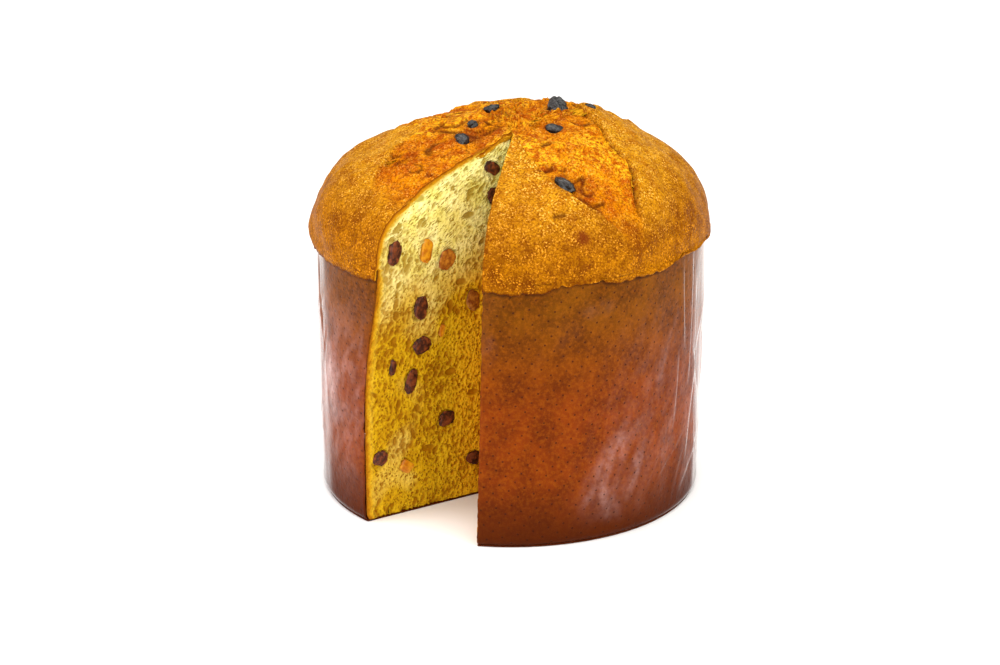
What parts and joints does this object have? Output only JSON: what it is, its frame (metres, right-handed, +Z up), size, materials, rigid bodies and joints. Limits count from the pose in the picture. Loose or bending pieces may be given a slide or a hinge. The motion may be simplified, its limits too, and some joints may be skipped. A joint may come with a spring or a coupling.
{
  "type": "panettone",
  "caption": "Tall domed panettone in its brown paper case, with a narrow wedge cut out of the front so that the fruited crumb shows on both cut faces.",
  "frame": {"origin": "centre of the round underside of the paper case, on the surface that it stands on", "axes": "+Z up through the loaf, -Y through the open wedge, +X to the right as the wedge is faced"},
  "size_m": [0.1746, 0.1716, 0.1765],
  "materials": {
    "bread": "matt golden-brown crust, pale yellow open crumb where it is cut",
    "paper_case": "glossy reddish-brown baking paper with soft creases and pinholes",
    "raisin": "dark brown, moist and slightly glossy",
    "baked_raisin": "grey-black, dry and wrinkled",
    "candied_peel": "translucent yellow-orange, glossy"
  },
  "bodies": {
    "root": {"loaf": "bread", "case_wall": "paper_case", "case_base": "paper_case", "left_peel_1": "candied_peel", "left_peel_2": "candied_peel", "left_peel_3": "candied_peel", "left_raisin_1": "raisin", "left_raisin_10": "raisin", "left_raisin_11": "raisin", "left_raisin_12": "raisin", "left_raisin_2": "raisin", "left_raisin_3": "raisin", "left_raisin_4": "raisin", "left_raisin_5": "raisin", "left_raisin_6": "raisin", "left_raisin_7": "raisin", "left_raisin_8": "raisin", "left_raisin_9": "raisin", "right_peel_1": "candied_peel", "right_peel_2": "candied_peel", "right_peel_3": "candied_peel", "right_peel_4": "candied_peel", "right_raisin_1": "raisin", "right_raisin_2": "raisin", "right_raisin_3": "raisin", "right_raisin_4": "raisin", "right_raisin_5": "raisin", "right_raisin_6": "raisin", "right_raisin_7": "raisin", "right_raisin_8": "raisin", "top_raisin_1": "baked_raisin", "top_raisin_10": "baked_raisin", "top_raisin_2": "baked_raisin", "top_raisin_3": "baked_raisin", "top_raisin_4": "baked_raisin", "top_raisin_5": "baked_raisin", "top_raisin_6": "baked_raisin", "top_raisin_7": "baked_raisin", "top_raisin_8": "baked_raisin", "top_raisin_9": "baked_raisin"}
  },
  "joints": []
}
